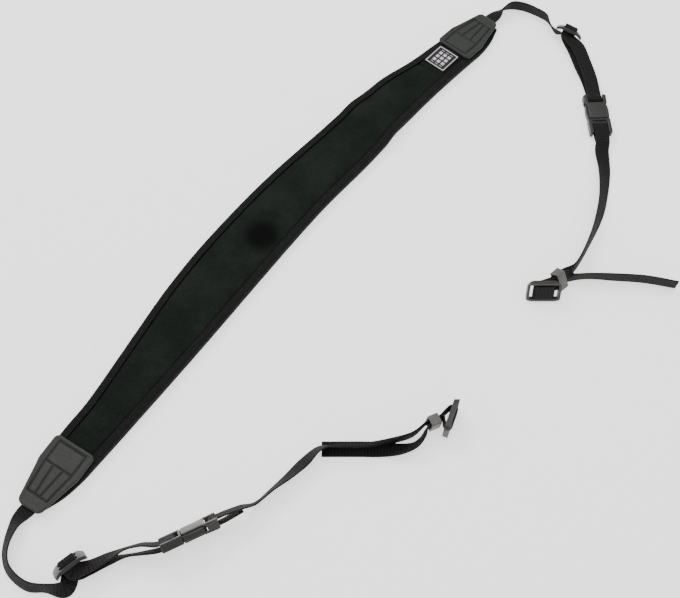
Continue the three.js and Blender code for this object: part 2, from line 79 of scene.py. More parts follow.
class Finish:
    """A material under construction."""

    def __init__(self, name, **shader):
        self.material = bpy.data.materials.new(name)
        self.material.use_nodes = True
        self.tree = self.material.node_tree
        self.shader = next(n for n in self.tree.nodes if n.type == "BSDF_PRINCIPLED")
        for socket, value in shader.items():
            self.shader.inputs[socket.replace("_", " ")].default_value = value

    def node(self, kind, settings=None, sockets=None, output=0):
        made = self.tree.nodes.new(kind)
        for name, value in (settings or {}).items():
            setattr(made, name, value)
        for name, value in (sockets or {}).items():
            self.join(made.inputs[name], value)
        return Wire(self, made.outputs[output])

    def join(self, socket, value):
        if isinstance(value, Wire):
            self.tree.links.new(value.socket, socket)
        else:
            socket.default_value = value

    def place(self):
        return self.node("ShaderNodeTexCoord", output="Object")

    def cloth_place(self):
        """Along and across the webbing or tape, in metres."""
        parts = self.node("ShaderNodeSeparateXYZ", sockets={"Vector": self.node(
            "ShaderNodeUVMap", {"uv_map": "cut"})})
        return parts, Wire(self, parts.socket.node.outputs[1])

    def noise(self, scale, detail=2.0, rough=0.5, where=None):
        return self.node("ShaderNodeTexNoise", None, {
            "Vector": where or self.place(), "Scale": scale, "Detail": detail, "Roughness": rough})

    def cells(self, scale, feature="F1", where=None):
        return self.node("ShaderNodeTexVoronoi", {"feature": feature}, {
            "Vector": where or self.place(), "Scale": scale})

    def blend(self, share, first, second):
        mixed = self.node("ShaderNodeMix", {"data_type": "RGBA"})
        mix = mixed.socket.node
        colours = [s for s in mix.inputs if s.type == "RGBA"]
        self.join(mix.inputs[0], share)
        for socket, colour in zip(colours, (first, second)):
            self.join(socket, colour)
        return Wire(self, next(s for s in mix.outputs if s.type == "RGBA"))

    def bump(self, height, strength, distance, under=None):
        return self.node("ShaderNodeBump", None, {
            "Height": height, "Strength": strength, "Distance": distance,
            **({"Normal": under} if under else {})})

    def wear(self, **sockets):
        for name, value in sockets.items():
            self.join(self.shader.inputs[name.replace("_", " ")], value)
        return self.material


def grey(value, warm=0.0):
    """A colour from its 0-255 screen value, a little warmer where warm is above 0."""
    return tint(value + warm, value, value - warm)


def tint(*screen):
    return tuple(((v / 255 + 0.055) / 1.055) ** 2.4 if v > 10 else v / 3295 for v in screen) + (1.0,)


def foam_face():
    """Brushed knit over foam: fine loops with paler fibre ends."""
    f = Finish("foam_face", Roughness=0.95, Specular_IOR_Level=0.1)
    loops = f.cells(1900)
    nap = f.noise(700, 4.0, 0.65)
    patch = f.noise(34, 3.0, 0.6)
    flecks = f.noise(2600, 2.0, 0.7).ramp(0.58, 0.74)
    shade = f.blend(patch.ramp(0.35, 0.7), tint(20, 24, 21), tint(29, 34, 30))
    shade = f.blend(nap.ramp(0.5, 0.72) * 0.5, shade, tint(40, 47, 42))
    shade = f.blend(flecks * 0.35, shade, tint(62, 72, 66))
    away = f.node("ShaderNodeVectorMath", {"operation": "DISTANCE"}, {0: f.place(), 1: SPOT}, output="Value")
    shade = f.blend((1 - away.ramp(0.007, 0.02)) * 0.9, shade, tint(4, 5, 4))
    return f.wear(Base_Color=shade, Normal=f.bump(loops + nap * 1.5, 0.5, 0.0004))


def woven_tape():
    f = Finish("woven_tape", Roughness=0.85, Specular_IOR_Level=0.15)
    along, across = f.cloth_place()
    ribs = (along * (2 * math.pi / 0.0009)).sine()
    yarns = (across * (2 * math.pi / 0.0007)).sine()
    weave = (ribs * yarns) * 0.5 + 0.5
    worn = f.noise(260, 3.0, 0.6)
    shade = f.blend(weave * 0.6, tint(15, 16, 16), tint(35, 36, 35))
    shade = f.blend(worn.ramp(0.52, 0.75) * 0.3, shade, tint(52, 50, 47))
    return f.wear(Base_Color=shade, Normal=f.bump(weave + worn * 0.5, 0.6, 0.0003))


def thread(name, shade):
    f = Finish(name, Roughness=0.7, Specular_IOR_Level=0.35)
    twist = f.cells(2600)
    return f.wear(Base_Color=f.blend(twist.ramp(0.1, 0.6), shade, grey(12)),
                  Normal=f.bump(twist, 0.5, 0.0002))


def strap_webbing():
    """Narrow webbing: crosswise ribs every 2.4 mm, fine warp yarns and dusty edges."""
    f = Finish("strap_webbing", Roughness=0.72, Specular_IOR_Level=0.2)
    along, across = f.cloth_place()
    rib = (along * (2 * math.pi / 0.0024)).sine() * 0.5 + 0.5
    warp = (across * (2 * math.pi / 0.00075)).sine()
    fill = (along * (2 * math.pi / 0.0006) + warp * 1.3).sine()
    yarn = (warp * fill) * 0.5 + 0.5
    dust = f.noise(420, 4.0, 0.7)
    edge = (across.size() - 0.0).ramp(0.0046, 0.006)
    shade = f.blend(yarn * 0.55, grey(17), grey(40))
    shade = f.blend(rib.ramp(0.0, 0.35), grey(10), shade)
    shade = f.blend(dust.ramp(0.55, 0.8) * 0.35, shade, tint(62, 59, 55))
    shade = f.blend(edge * dust * 0.5, shade, tint(58, 49, 42))
    return f.wear(Base_Color=shade, Roughness=0.62 + dust * 0.25,
                  Normal=f.bump(yarn * 0.6 + rib, 0.7, 0.00035))


def embossed_hide(shade, name):
    f = Finish(name, Roughness=0.55, Specular_IOR_Level=0.3)
    pebbles = f.cells(1500)
    creases = f.noise(900, 5.0, 0.65)
    scuffs = f.noise(120, 4.0, 0.7).ramp(0.5, 0.78)
    depth = f.node("ShaderNodeAttribute", {"attribute_name": "groove"}, output="Fac")
    colour = f.blend(creases.ramp(0.3, 0.75), tint(*(v * 0.78 for v in shade)), tint(*shade))
    colour = f.blend(scuffs * 0.3, colour, tint(*(min(v * 1.35, 255) for v in shade)))
    # painted shade: the hide is darkened towards near-black along the tab's grooves, read from the groove
    # attribute
    colour = f.blend(depth * 0.85, colour, tint(16, 16, 15))
    return f.wear(Base_Color=colour, Roughness=0.5 + creases * 0.22,
                  Normal=f.bump(pebbles * 0.7 + creases, 0.45, 0.00035))


def moulding(name, shade, rough=0.42):
    """Fine spark-eroded nylon with rubbed edges."""
    f = Finish(name, Roughness=rough, Specular_IOR_Level=0.42)
    grain = f.noise(2400, 3.0, 0.6)
    rubbed = f.noise(210, 4.0, 0.65).ramp(0.48, 0.74)
    colour = f.blend(grain.ramp(0.3, 0.7), tint(*(v * 0.88 for v in shade)), tint(*shade))
    colour = f.blend(rubbed * 0.35, colour, tint(*(min(v * 1.3, 255) for v in shade)))
    return f.wear(Base_Color=colour, Roughness=rough - 0.06 + grain * 0.16,
                  Normal=f.bump(grain, 0.25, 0.00015))


def woven_label():
    """A dark label with a pale border line and a plain three by three check of squares."""
    f = Finish("woven_label", Roughness=0.6, Specular_IOR_Level=0.35)
    along, across = f.cloth_place()
    out = f.node("ShaderNodeMath", {"operation": "MAXIMUM"}, {
        0: (along / 0.012).size(), 1: (across / 0.011).size()})
    border = out.above(0.84) * out.below(0.91)
    inside = out.below(0.68)
    cell = 0.0046
    squares = ((along / cell + 0.5 + 10).fraction() - 0.5).size().below(0.33) * (
        (across / cell + 0.5 + 10).fraction() - 0.5).size().below(0.33) * inside
    weave = ((along * (2 * math.pi / 0.0005)).sine() * (across * (2 * math.pi / 0.0004)).sine())
    colour = f.blend(weave * 0.5 + 0.5, tint(17, 16, 18), tint(30, 28, 31))
    colour = f.blend(border + squares, colour, tint(214, 208, 214))
    return f.wear(Base_Color=colour, Normal=f.bump(weave + (border + squares) * 1.5, 0.4, 0.0002))


# ------------------------------------------------------------------ making and placing pieces

def lie(x, y, z, heading=0.0, pitch=0.0, roll=0.0):
    """A place in the plan, in mm: heading about up, then nose up, then roll."""
    turn = Euler((math.radians(roll), math.radians(-pitch), math.radians(heading)), "XYZ").to_matrix()
    return Matrix.Translation((x, y, z)) @ turn.to_4x4()


def finished(name, bm, material, smooth=50.0, place=Matrix()):
    """Puts a mesh made in mm at its place, in metres, as a piece that rides on the strap."""
    scale = Matrix.Scale(MM, 4)
    bmesh.ops.transform(bm, matrix=scale @ Matrix.Translation(SHIFT) @ place, verts=bm.verts)
    mesh = bpy.data.meshes.new(name)
    bm.to_mesh(mesh)
    bm.free()
    mesh.materials.append(material)
    mesh.shade_smooth()
    mesh.set_sharp_from_angle(angle=math.radians(smooth))
    piece = bpy.data.objects.new(name, mesh)
    bpy.context.scene.collection.objects.link(piece)
    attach(piece, "root")
    return piece


def woven_grid(columns, rows, sheet_place):
    """A grid whose corner i, j goes to the point, and the place on the cloth, that sheet_place gives."""
    bm = bmesh.new()
    bmesh.ops.create_grid(bm, x_segments=columns - 1, y_segments=rows - 1, size=1.0)
    cut = bm.loops.layers.uv.new("cut")
    found = {}
    for v in bm.verts:
        i = round((v.co.x + 1) / 2 * (columns - 1))
        j = round((v.co.y + 1) / 2 * (rows - 1))
        found[v] = sheet_place(i, j)
    for face in bm.faces:
        for loop in face.loops:
            loop[cut].uv = found[loop.vert][1]
    for v, (point, _) in found.items():
        v.co = point
    return bm


def swept(stations, section):
    """A closed skin round a section, carried through stations: each gives (length, place(x, y))."""
    count = len(section)

    def corner(i, j):
        length, place = stations[i]
        x, y, *across = section[j % count]
        return place(x, y), (length * MM, (across[0] if across else x) * MM)

    bm = woven_grid(len(stations), count + 1, corner)
    bmesh.ops.remove_doubles(bm, verts=bm.verts, dist=1e-5)
    bmesh.ops.holes_fill(bm, edges=[e for e in bm.edges if e.is_boundary], sides=0)
    bmesh.ops.recalc_face_normals(bm, faces=bm.faces)
    return bm


def table(rows):
    """Reads a table at any value of its first column, on smooth curves."""
    def read(at):
        k = max(0, min(len(rows) - 2, sum(1 for row in rows if row[0] <= at) - 1))
        before = rows[max(k - 1, 0)]
        first, second = rows[k], rows[k + 1]
        after = rows[min(k + 2, len(rows) - 1)]
        span = second[0] - first[0]
        t = (at - first[0]) / span
        out = []
        for c in range(1, len(first)):
            slope_in = (second[c] - before[c]) / (second[0] - before[0]) if before is not first \
                else (second[c] - first[c]) / span
            slope_out = (after[c] - first[c]) / (after[0] - first[0]) if after is not second \
                else (second[c] - first[c]) / span
            out.append((2 * t**3 - 3 * t**2 + 1) * first[c] + (t**3 - 2 * t**2 + t) * span * slope_in
                       + (3 * t**2 - 2 * t**3) * second[c] + (t**3 - t**2) * span * slope_out)
        return out
    return read


def spline(points, even=False):
    """A smooth curve through points; its value at 0 to 1 is a point."""
    last = len(points) - 1

    def at(share):
        p = share * last
        k = min(int(p), last - 1)
        w = p - k
        b, c = points[k], points[k + 1]
        a = points[k - 1] if k > 0 else 2 * b - c
        d = points[k + 2] if k + 2 <= last else 2 * c - b
        if even:
            t1, t2 = (c - a) * 0.5, (d - b) * 0.5
        else:
            s0, s1, s2 = (math.sqrt((q - p0).length) for p0, q in ((a, b), (b, c), (c, d)))
            s1 = s1 if s1 > 1e-4 else 1.0
            s0 = s0 if s0 > 1e-4 else s1
            s2 = s2 if s2 > 1e-4 else s1
            t1 = ((b - a) / s0 - (c - a) / (s0 + s1) + (c - b) / s1) * s1
            t2 = ((c - b) / s1 - (d - b) / (s1 + s2) + (d - c) / s2) * s1
        return b + t1 * w + (3 * (c - b) - 2 * t1 - t2) * w**2 + (2 * (b - c) + t1 + t2) * w**3
    return at


# ------------------------------------------------------------------ the plan, in mm and degrees

BAND_PLACE = lie(-61, 18, 0, 52.5)
# along, left edge, right edge, thick, lift
BAND = [
    (-289, 3, 13, 3.2, 0), (-272, 9, 18.6, 3.4, 0), (-256, 13.2, 20.8, 4.8, 0), (-240, 16.2, 21, 6.6, 0),
    (-207, 18.8, 20.4, 7, 0), (-152, 28.5, 19, 7, 0), (-103, 37, 17.3, 7, 0), (-57, 41.7, 15.3, 7, 0),
    (0, 43.3, 13.2, 7, 0), (40, 42.3, 12.8, 7, 0), (87, 38.8, 14.8, 7, 0), (117, 36.2, 15.6, 7, 1.4),
    (133, 35.2, 15, 7, 3.2), (150, 33.6, 14.8, 7, 1), (175, 30.8, 15.2, 7, 0), (207, 22.4, 17.2, 7, 0),
    (240, 16.6, 20.2, 6.6, 0), (256, 13.6, 21.6, 4.8, 0), (272, 9, 20.6, 3.4, 0), (289, 3.4, 16.6, 3.2, 0),
]
BAND_END, CROSS_SEAM = 289.0, 208.5
BINDING_WIDE, BINDING_THICK = 6.5, 0.8
TAB_SLOPE = 1.9
TAB_PLACE = {"near": (-238, -0.6, 7.2, 185.6), "far": (238.6, -0.6, 7.2, -4.8)}
LABEL_PLACE = (224.6, 1.4, 7.6, -4)
GLIDE_PLACE = {"near": (-199.7, -256.1, 9.9, -50.1, 49.9, 0), "far": (193, 229, 9.7, -106.7, 37.9, -13.2)}
BUCKLE_PLACE = {"near": (-119.6, -236, 11.6, 26, 0, -57), "far": (207, 134, 4.6, -88, 0, 0)}
SLIDER_PLACE = {"near": (64, -150.4, 9.3, -111, 0, -90), "far": (141.8, -44.2, 8.8, 180, 0, -68)}
KEEPER_PLACE = {"near": (51, -153.6, 8.42, 24, 0, -82), "far": (155, -34, 8.82, -140, 0, -59)}
BUCKLE_BAR = {"near": (-12.2, 17.3), "far": (-17.3, 12.2)}

# x, y, heading of the left edge, how far that edge is tipped up, lift
UPPER = {
    "near": [
        (-238, -220.5, -36, 9, 1.6), (-242, -228.5, -25, 36, 0.6), (-244.6, -238, -12, 50, 0),
        (-245, -248, 8, 58, 0), (-242, -257.5, 38, 64, 0), (-235.3, -265, 62, 66, 0),
        (-226, -270.6, 80, 68, 0), (-215, -271.8, 99.3, 74.9, 0), (-200.5, -271.6, 134.8, 33.8, 0.1)],
    "far": [
        (126.6, 252.6, 140, -8, 2.2), (134.6, 260, 132, -60, 0.4), (143.5, 264.2, 112, -80, 0),
        (154, 262.5, 82, -82, 0), (165, 256.5, 60, -80, 0), (174.4, 248.6, 48, -75.8, 0),
        (178, 238.8, 39.8, -53.1, 0.1), (185, 231.5, 20, -27.4, 0)],
}
# the same, then the space between the two layers and how far the lower one has slipped
DOUBLED = {
    "near": [(-186.4, -259, 72.2, -26.3, 5.5, 2.7, 0), (-174, -252.5, 100, -44, 2, 3.2, 0),
             (-162, -247.8, 112, -66, 1, 5, 0), (-151, -246, 114, -63, 3, 6, 0)],
    "far": [(197.9, 209.2, -9.4, 2.1, 6.8, 3.1, 3.2), (202.6, 192, 7, 0, 5, 3, 3.4),
            (205.4, 174, 6, 0, 4.6, 3.6, 1.6)],
}
LOWER = {
    "near": [
        (-75, -213, 122, -66, 1), (-64.5, -203.5, 132, -64, 0.4), (-53, -193.4, 134, -50, 0.4),
        (-42, -182.6, 130, -40, 0.6), (-31, -173, 108, -56, 1.5), (-17, -171.4, 94, -82, 1.5),
        (2, -171, 92, -87, 1.5), (20, -167.4, 102, -88, 0.8), (36, -162, 112, -87, 0.2)],
    "far": [
        (206.6, 98, 0, 0, 2.6), (205.4, 74, -4, -26, 1), (201.4, 50, -10, -46, 0), (196, 31, -16, -56, 0),
        (184, 4, -28, -78, 0), (169, -21, -36, -84, 0)],
}
TAIL = {
    "near": [(43.6, -163.6, 122, -68, 0), (37.4, -169.8, 112, -52, 0), (27, -172.4, 98, -30, 0),
             (8, -171.6, 91, 0, 0), (-30, -171.4, 92, 0, 0)],
    "far": [(165, -30.5, 10, -70, 0), (179, -29, 60, -80, 0), (200, -30, 80, -87, 0),
            (224, -32, 80, -88, 0), (247.5, -37, 76, -86, 0)],
}
OVER_THE_BAR = [(-4.8, -3.6), (-4.2, -1), (-4.1, 1.4), (0, 4), (4.1, 1.4), (4.2, -1), (5.2, -3.9)]
SEWN_ROUND_THE_BAR = [(4.3, -5.7), (-0.3, -3.6), (-2.4, -1.4), (-2, 1.5), (0, 2.5), (2, 1.5), (2.6, -1)]
ROUND_A_BUCKLE_BAR = [(9.5, -2.2), (3.6, -2.4), (0.6, -2.9), (-2.3, -1.6), (-2.8, 0), (-2.3, 1.6),
                      (0.6, 2.9), (3.6, 2.4), (9.5, 2.2)]
SEWN_LENGTH = {"near": 22, "far": 16}
ROUND_THE_CENTRE = [(-3, -5), (-6.4, -3.2), (-7.9, 0), (-6.4, 2.1), (0, 2.4), (6.4, 2.1), (7.9, 0),
                    (6.4, -3.2), (3, -5)]
band = table(BAND)
SPOT = MM * (BAND_PLACE @ Vector((-19.3, 8.5, 7)) + SHIFT)


# ------------------------------------------------------------------ camera, floor and light

def set_up_camera():
    data = bpy.data.cameras.new("camera")
    data.lens, data.sensor_width = 52.94, 36.0
    data.clip_start, data.clip_end = 0.01, 20.0
    camera = bpy.data.objects.new("camera", data)
    camera.location = MM * (Vector((-16.7, -431.6, 683.6)) + SHIFT)
    camera.rotation_euler = (math.radians(29.4), 0, 0)
    bpy.context.scene.collection.objects.link(camera)
    bpy.context.scene.camera = camera


def soft_light(name, where, size, power, aim=(0, 0, 0)):
    data = bpy.data.lights.new(name, "AREA")
    data.shape, data.size, data.energy = "DISK", size, power
    light = bpy.data.objects.new(name, data)
    light.location = where
    light.rotation_euler = (Vector(aim) - Vector(where)).to_track_quat("-Z", "Y").to_euler()
    bpy.context.scene.collection.objects.link(light)


def set_up_floor():
    bm = bmesh.new()
    bmesh.ops.create_grid(bm, x_segments=2, y_segments=2, size=6.0)
    mesh = bpy.data.meshes.new("floor")
    bm.to_mesh(mesh)
    bm.free()
    f = Finish("floor", Roughness=0.9, Specular_IOR_Level=0.1, Emission_Strength=1.15,
               Emission_Color=(1, 1, 1, 1))
    mesh.materials.append(f.wear(Base_Color=(0.86, 0.86, 0.86, 1)))
    floor = bpy.data.objects.new("floor", mesh)
    floor.location.z = -0.0004
    bpy.context.scene.collection.objects.link(floor)


def set_up_light():
    world = bpy.data.worlds.new("studio")
    bpy.context.scene.world = world
    world.use_nodes = True
    world.node_tree.nodes["Background"].inputs["Color"].default_value = (1, 1, 1, 1)
    world.node_tree.nodes["Background"].inputs["Strength"].default_value = 0.75
    soft_light("back_left", (-0.9, 1.3, 1.6), 0.9, 26)
    soft_light("overhead", (0.3, 0.2, 2.2), 1.6, 16)


# ------------------------------------------------------------------ webbing

def tip(left, lean):
    h, k = math.radians(left), math.radians(lean)
    return Vector((math.cos(h) * math.cos(k), math.sin(h) * math.cos(k), math.sin(k)))


def laid(x, y, left, lean, lift, *_):
    side = tip(left, lean)
    rest = WEB_WIDE / 2 * abs(side.z) + WEB_THICK / 2 * math.cos(math.radians(lean))
    return Vector((x, y, rest + lift)), side


def through(place, along, up, turned=1):
    return place @ Vector((along, 0, up)), place.to_3x3() @ Vector((0, turned, 0))


def layer(row, way, turned):
    at, side = laid(*row)
    travel = tip(row[2] - 90, 0)
    at = at + travel.cross(side).normalized() * way * row[5] / 2
    if way < 0:
        at = at - side * row[6]
    return at, side * turned


def webbing_stations(places, step):
    """Even stations along webbing through places, each with its length and a section placer."""
    middle, edge = spline([at for at, _ in places]), spline([side for _, side in places], even=True)
    fine = (len(places) - 1) * 40
    points = [middle(k / fine) for k in range(fine + 1)]
    lengths = [0.0]
    for a, b in zip(points, points[1:]):
        lengths.append(lengths[-1] + (b - a).length)
    count = round(lengths[-1] / step)
    stations, k = [], 0
    for n in range(count + 1):
        want = lengths[-1] * n / count
        while k < fine - 1 and lengths[k + 1] < want:
            k += 1
        t = (want - lengths[k]) / max(lengths[k + 1] - lengths[k], 1e-9)
        share = (k + t) / fine
        at = points[k].lerp(points[k + 1], t)
        travel = (middle(min(share + 1e-3, 1)) - middle(max(share - 1e-3, 0))).normalized()
        side = edge(share)
        side = (side - travel * side.dot(travel)).normalized()
        face = travel.cross(side)
        reach = (abs(side.z) * WEB_WIDE + abs(face.z) * WEB_THICK) / 2
        at.z = max(at.z, reach)

        def place(x, y, at=at, side=side, face=face, want=want):
            ribs = 0.1 * math.cos(2 * math.pi * want / 2.4) if abs(y) > 0.3 else 0.0
            return at + side * x + face * (y + math.copysign(ribs, y))
        stations.append((want, place))
    return stations, lengths[-1]


def strap_section():
    """The webbing's section: flat, with rolled edges."""
    half, thick = WEB_WIDE / 2, WEB_THICK / 2 - 0.08
    across = [-5.85, -5.5, -4.8, -4, -3.2, -2.4, -1.6, -0.8, 0, 0.8, 1.6, 2.4, 3.2, 4, 4.8, 5.5, 5.85]
    ease = [0.62, 0.9] + [1.0] * (len(across) - 4) + [0.9, 0.62]
    under = [(x, -thick * e) for x, e in zip(across, ease)]
    over = [(x, thick * e) for x, e in zip(reversed(across), reversed(ease))]
    return under + [(half - 0.02, 0)] + over + [(-half + 0.02, 0)]


def webbing(name, places, finish):
    stations, length = webbing_stations(places, 0.6)
    piece = finished(name, swept(stations, strap_section()), finish)
    length * MM
    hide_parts(name.replace("strap_", ""))
    return piece, length


def lay_out_webbing(end, finish):
    tab = BAND_PLACE @ lie(*TAB_PLACE[end]) @ Matrix.Rotation(math.radians(TAB_SLOPE), 4, "Y")
    glide, buckle = lie(*GLIDE_PLACE[end]), lie(*BUCKLE_PLACE[end])
    slider, keeper = lie(*SLIDER_PLACE[end]), lie(*KEEPER_PLACE[end])
    turned = -1 if end == "near" else 1
    inner, outer = BUCKLE_BAR[end]
    upper = [through(tab, a, -1.05) for a in (30, 44, 52)]
    upper += [laid(*row) for row in UPPER[end]]
    upper += [through(glide, a, u, turned) for a, u in OVER_THE_BAR]
    upper += [layer(row, 1, turned) for row in DOUBLED[end]]
    upper += [through(buckle, inner - a, u, turned) for a, u in reversed(ROUND_A_BUCKLE_BAR)]
    upper += [layer(row, -1, turned) for row in reversed(DOUBLED[end])]
    upper += [through(glide, a, u, turned) for a, u in SEWN_ROUND_THE_BAR]
    webbing(f"strap_upper_webbing_{end}", upper, finish)

    side = 1 if end == "near" else -1
    sewn = outer + SEWN_LENGTH[end]
    lower = [through(buckle, sewn, -1)]
    lower += [through(buckle, outer + a, u) for a, u in ROUND_A_BUCKLE_BAR]
    lower += [through(buckle, sewn, 1)]
    lower += [laid(*row) for row in LOWER[end]]
    lower += [through(keeper, a, 1.4 * side) for a in (-4.5, 4.5)]
    lower += [through(slider, a * side, u) for a, u in ROUND_THE_CENTRE]
    lower += [through(keeper, a, -1.4 * side) for a in (4.5, -4.5)]
    lower += [laid(*row) for row in TAIL[end]]
    webbing(f"strap_lower_webbing_{end}", lower, finish)


# ------------------------------------------------------------------ neck band

def make_panel(finish):
    """The foam panel: crowned, pulled down along its seams, and a little wrinkled."""
    top = [(math.sin(math.pi / 2 * k / 16), 1 - 0.16 * abs(k / 16) ** 2.4) for k in range(-16, 17)]
    rim = BINDING_WIDE - BINDING_THICK
    section = [(x, y, x) for x, y in reversed(top)]
    section += [(-1.0, 0.82, -1.02), (-1.0, 0.18, -1.03)] + [(x / 6, 0.0, x / 6) for x in range(-6, 7)]
    section += [(1.0, 0.18, 1.03), (1.0, 0.82, 1.02)]
    stations = []
    for n in range(521):
        along = -BAND_END + 1 + (2 * BAND_END - 2) * n / 520
        left, right, thick, lift = band(along)
        lift = max(lift, 0.0)
        middle, half = (left - right) / 2, (left + right) / 2 - rim - 0.5
        seam = math.exp(-((along - CROSS_SEAM) / 1.1) ** 2)

        def place(x, y, along=along, middle=middle, half=half, thick=thick, lift=lift, seam=seam):
            across = middle + x * half
            z = y * thick
            if y > 0.5:
                at = Vector((along, across, 0))
                z += 0.16 * noise.noise(at * 0.045) + 0.09 * noise.noise(at * 0.16)
                z -= 1.15 * (1 - min((1 - abs(x)) * half / 2.4, 1.0)) ** 2
                z -= 1.3 * seam
                z = min(z, thick)
            return Vector((along, across, lift + z))
        stations.append((along, place))
    piece = finished("neck_panel", swept(stations, section), finish, place=BAND_PLACE)
    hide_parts("neck_pad")


def make_binding(side, finish):
    """Tape folded over one long edge and sewn down."""
    outer, inner = [], []
    w, t = BINDING_WIDE, BINDING_THICK
    for x, y in ((w, 1.0), (5.2, 1.0), (3.6, 1.0), (2.0, 0.99), (0.9, 0.95), (0.25, 0.84), (0.0, 0.66),
                 (0.0, 0.34), (0.25, 0.14), (0.9, 0.04), (2.0, 0.0), (w, 0.0)):
        outer.append((x, y, 0.0))
    for x, y in ((w, 0.0), (2.2, 0.0), (t + 0.1, 0.2), (t, 0.4), (t, 0.6), (t + 0.1, 0.8), (2.2, 1.0),
                 (3.6, 1.0), (w, 1.0)):
        inner.append((x, y, t if y < 0.5 else -t))
    across, section, before = 0.0, [], None
    for x, y, step in outer + inner:
        spot = Vector((x, y * 7))
        across += (spot - before).length if before else 0.0
        before = spot
        section.append((x + step * 1000, y, across))
    stations = []
    for n in range(581):
        along = -BAND_END + 2 * BAND_END * n / 580
        left, right, thick, lift = band(along)
        edge = left if side > 0 else -right
        lift = max(lift, 0.0)

        def place(x, y, along=along, edge=edge, thick=thick, lift=lift):
            step = round(x / 1000, 1) if abs(x) > 100 else 0.0
            x -= step * 1000
            z = lift + y * thick + step
            stitch = math.exp(-((x - 5.1) / 0.7) ** 2) * (y > 0.9) * (step == 0)
            z -= stitch * (0.22 + 0.12 * math.cos(2 * math.pi * along / 3.4))
            wave = 0.12 * noise.noise(Vector((along * 0.09, side * 9, 0)))
            return Vector((along, edge - side * (x + wave), z))
        stations.append((along, place))
    piece = finished("tape_left" if side > 0 else "tape_right", swept(stations, section), finish,
                     place=BAND_PLACE)
    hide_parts("binding_left" if side > 0 else "binding_right")


def stitches(name, places, finish, long=2.6, thick=0.55, place=Matrix()):
    """A row of short thread stitches: each place is a point and a direction."""
    bm = bmesh.new()
    for at, way in places:
        turn = way.to_track_quat("X", "Z").to_matrix().to_4x4()
        shape = Matrix.Translation(at) @ turn @ Matrix.Diagonal((long / 2, thick / 2, thick / 2.6, 1))
        bmesh.ops.create_icosphere(bm, subdivisions=1, radius=1.0, matrix=shape)
    piece = finished(name, bm, finish, smooth=180, place=place)


def sew_band(finish):
    for side, name in ((1, "stitches_left"), (-1, "stitches_right")):
        places = []
        along = -236.0
        while along < 236:
            left, right, thick, lift = band(along)
            ahead = band(along + 1)
            edge = left if side > 0 else -right
            next_edge = ahead[0] if side > 0 else -ahead[1]
            at = Vector((along, edge - side * 5.1, max(lift, 0) + thick - 0.12))
            places.append((at, Vector((1, next_edge - edge, 0))))
            along += 3.4
        stitches(name, places, finish, place=BAND_PLACE)


# ------------------------------------------------------------------ end tabs and label

def make_tab(end, finish):
    """The moulded keystone tab: a raised rim, a groove inside it, and creases to its narrow end."""
    long, shoulder, w, n, corner, thick = 54.0, 20.0, 17.5, 9.8, 4.0, 2.2

    def half_width(x):
        taper = min(max((x - shoulder) / (long - shoulder), 0.0), 1.0)
        blend = min(max((x - shoulder + 3) / 8, 0.0), 1.0)
        wide = w + (n - w) * (taper * blend)
        if x < corner:
            wide -= corner - math.sqrt(max(corner ** 2 - (corner - x) ** 2, 0))
        if x > long - corner:
            wide -= corner - math.sqrt(max(corner ** 2 - (x - long + corner) ** 2, 0))
        return wide

    def groove(distance, wide=0.8):
        return math.exp(-(distance / wide) ** 2)

    def depth(x, y):
        side = half_width(x) - abs(y)
        inside = min(side, x, long - x)
        cut = 0.0
        if 3.6 < x < 44:
            cut = groove(side - 5.6 * (1 - max(x - shoulder, 0) / 60))
        cut = max(cut, groove(x - 3.8) * (side > 5), groove(x - shoulder) * (side > 5.2))
        if shoulder < x < 43.6:
            t = (x - shoulder) / (long - shoulder)
            cut = max(cut, groove(abs(y) - 4.4 * (1 - 0.72 * t)))
        cut = max(cut, groove(x - 43.6) * (side > 4.2) * (x < 46))
        rim = 0.35 * min(max((3.2 - inside) / 1.2, 0), 1)
        round_off = 0.9 * max(0.0, 1 - inside / 1.1) ** 2
        return cut, rim - round_off - 0.75 * cut

    columns, rows = 151, 101

    def corner_place(i, j):
        x = long * i / (columns - 1)
        y = half_width(min(max(x, 0.02), long - 0.02)) * (2 * j / (rows - 1) - 1)
        return Vector((x, y, 0)), (x * MM, y * MM)

    bm = woven_grid(columns, rows, corner_place)
    top = list(bm.verts)
    bmesh.ops.extrude_face_region(bm, geom=list(bm.faces))
    cuts = {}
    top = set(top)
    for v in bm.verts:
        if v in top:
            continue
        cut, height = depth(v.co.x, v.co.y)
        cuts[v.index] = cut
        v.co.z = thick + height - 0.35
    # groove strength kept as an attribute, for the painted shade in the hide's colour
    groove_shade_layer = bm.verts.layers.float.new("groove")
    for v in bm.verts:
        if v not in top:
            v[groove_shade_layer] = depth(v.co.x, v.co.y)[0]
    bmesh.ops.recalc_face_normals(bm, faces=bm.faces)
    place = BAND_PLACE @ lie(*TAB_PLACE[end]) @ Matrix.Rotation(math.radians(TAB_SLOPE), 4, "Y")
    piece = finished(f"tab_{end}", bm, finish, place=place)
    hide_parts(f"end_tab_{end}")


def make_label(finish):
    bm = woven_grid(25, 23, lambda i, j: (Vector((i - 12.0, j - 11.0, 0.3)), ((i - 12) * MM, (j - 11) * MM)))
    bmesh.ops.extrude_face_region(bm, geom=list(bm.faces))
    low = [v for v in bm.verts if v.index < 25 * 23]
    bm.verts.ensure_lookup_table()
    for v in list(bm.verts)[:25 * 23]:
        v.co.z = -0.3
    bmesh.ops.recalc_face_normals(bm, faces=bm.faces)
    bmesh.ops.bevel(bm, geom=[e for e in bm.edges if e.calc_face_angle(0) > 1], offset=0.15, segments=2,
                    profile=0.5, affect="EDGES", material=-1)
    piece = finished("woven_label", bm, finish, place=BAND_PLACE @ lie(*LABEL_PLACE))
    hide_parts("label")


# ------------------------------------------------------------------ moulded pieces

